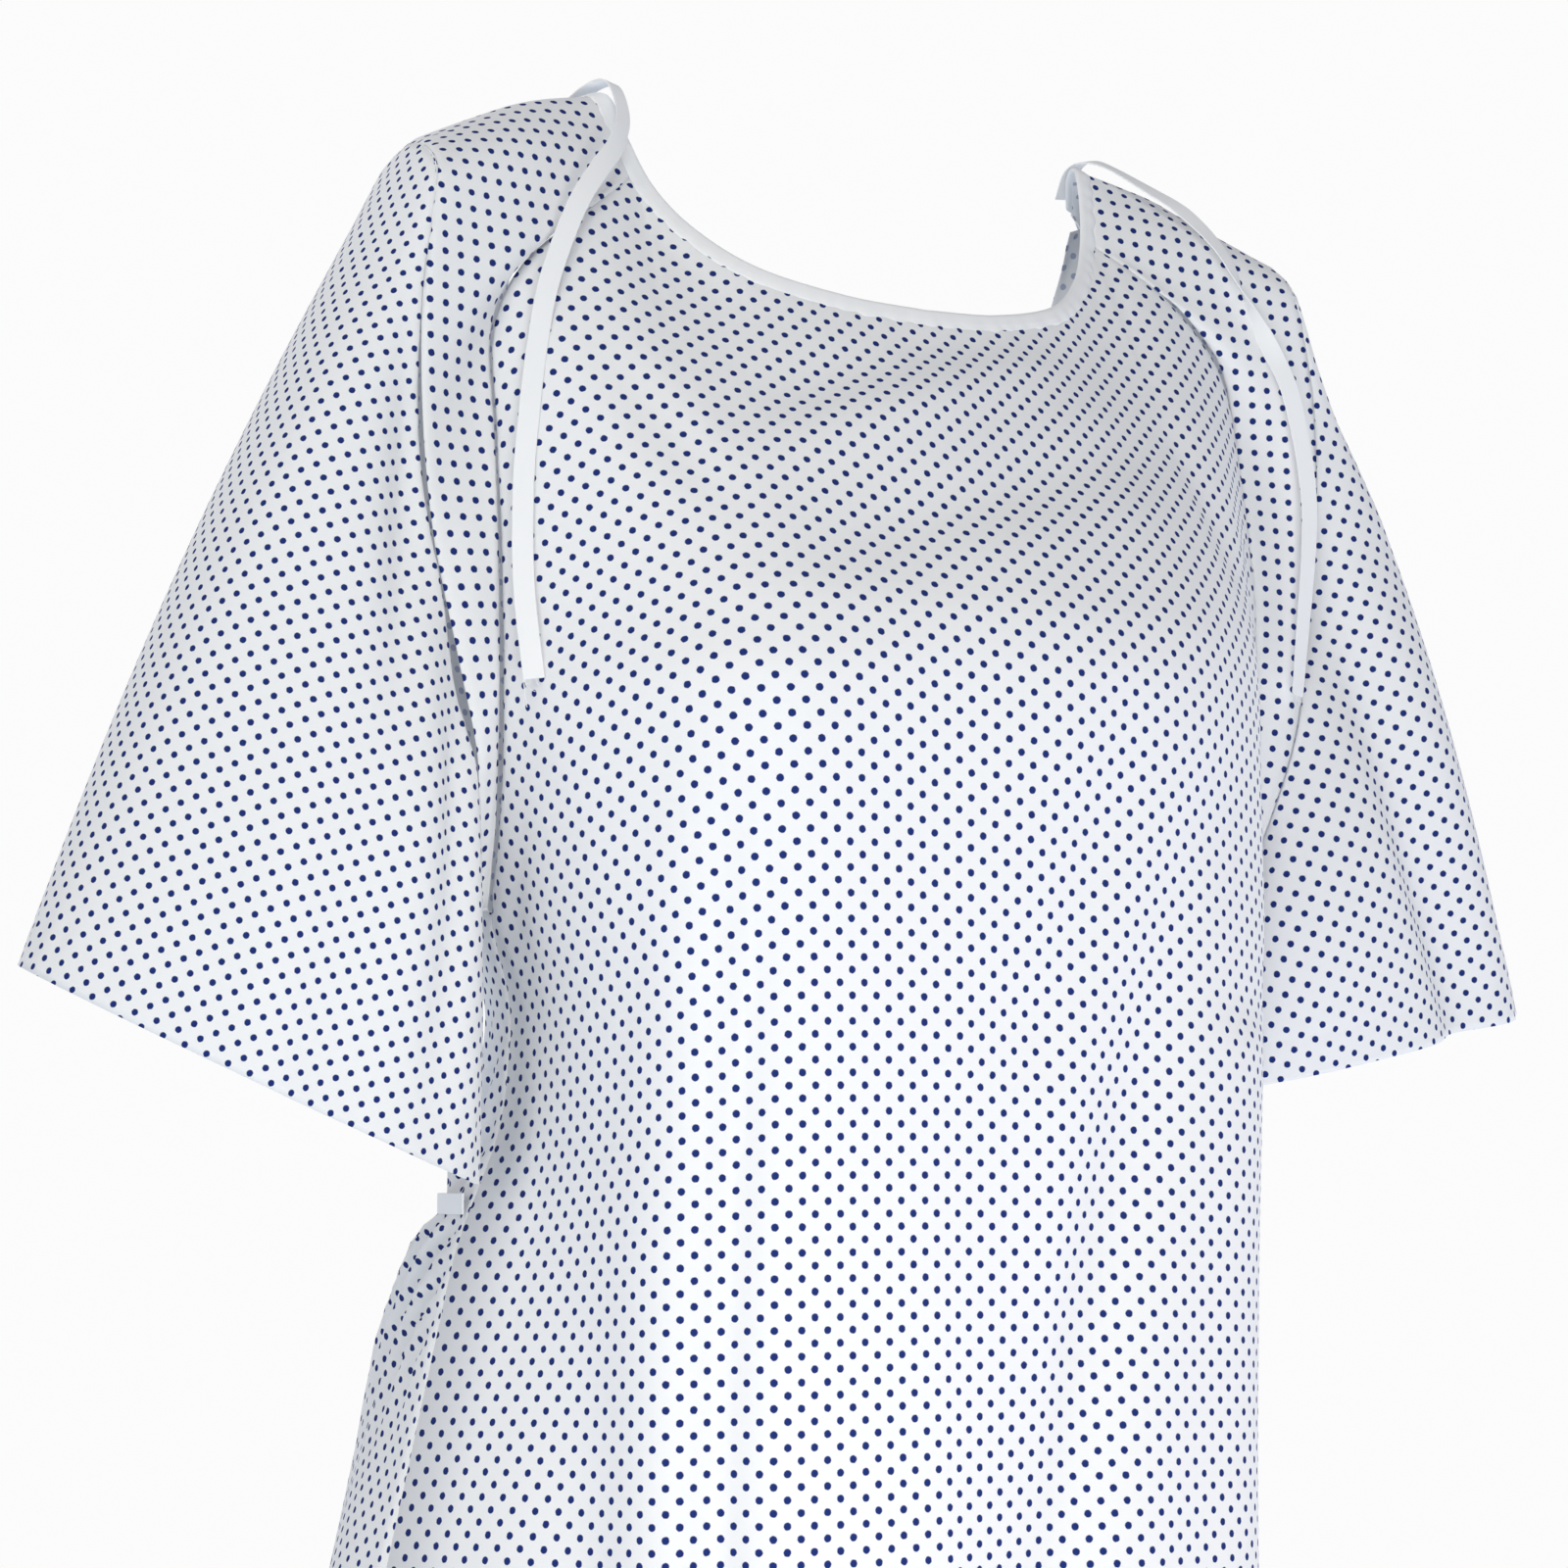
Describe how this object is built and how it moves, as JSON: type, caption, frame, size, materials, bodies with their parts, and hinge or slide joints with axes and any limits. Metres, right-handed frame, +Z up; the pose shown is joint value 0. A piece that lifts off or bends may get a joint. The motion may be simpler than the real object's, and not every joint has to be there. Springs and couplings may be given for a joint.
{
  "type": "patient gown",
  "caption": "Short-sleeved open-back hospital gown in dotted cotton, with a bound neckline, neck ties and a tied waist, hanging as it is worn.",
  "frame": {"origin": "on the shoulder line, midway between the two points where the neckline crosses it", "axes": "+Z up along the wearer's height, +X to the wearer's left, -Y to the gown's front"},
  "size_m": [0.8028, 0.4123, 1.1592],
  "materials": {
    "printed_cotton": "plain-weave white cotton with a staggered print of small navy dots, matt",
    "white_tape": "narrow woven white cotton tape, matt"
  },
  "bodies": {
    "gown_body": {"front_panel": "printed_cotton", "neck_binding": "white_tape", "right_shoulder_yoke": "printed_cotton", "left_shoulder_yoke": "printed_cotton", "right_back_panel": "printed_cotton", "left_back_panel": "printed_cotton", "right_waist_tie": "white_tape", "left_waist_tie": "white_tape", "waist_knot": "white_tape"},
    "right_sleeve": {"right_sleeve": "printed_cotton"},
    "left_sleeve": {"left_sleeve": "printed_cotton"},
    "right_skirt": {"right_back_skirt": "printed_cotton", "right_waist_tie_tail": "white_tape"},
    "left_skirt": {"left_back_skirt": "printed_cotton", "left_waist_tie_tail": "white_tape"},
    "right_tie": {"right_neck_tie": "white_tape"},
    "left_tie": {"left_neck_tie": "white_tape"}
  },
  "joints": [
    {"name": "right_sleeve_raise", "type": "hinge", "parent": "gown_body", "child": "right_sleeve", "pos_m": [-0.234, 0, -0.0365], "axis": [0, 1, 0], "range_deg": [0, 25]},
    {"name": "right_skirt_open", "type": "hinge", "parent": "gown_body", "child": "right_skirt", "pos_m": [-0.205, 0, -0.533], "axis": [0.2213, 0, 0.9752], "range_deg": [0, 40]},
    {"name": "right_neck_tie_lift", "type": "hinge", "parent": "gown_body", "child": "right_tie", "pos_m": [-0.144, 0.0345, -0.005], "axis": [-1, 0, 0], "range_deg": [0, 80]},
    {"name": "left_sleeve_raise", "type": "hinge", "parent": "gown_body", "child": "left_sleeve", "pos_m": [0.234, 0, -0.0365], "axis": [0, -1, 0], "range_deg": [0, 25]},
    {"name": "left_skirt_open", "type": "hinge", "parent": "gown_body", "child": "left_skirt", "pos_m": [0.1825, 0, -0.533], "axis": [-0.0041, 0, -1], "range_deg": [0, 40]},
    {"name": "left_neck_tie_lift", "type": "hinge", "parent": "gown_body", "child": "left_tie", "pos_m": [0.144, 0.0345, -0.005], "axis": [-1, 0, 0], "range_deg": [0, 80]}
  ]
}
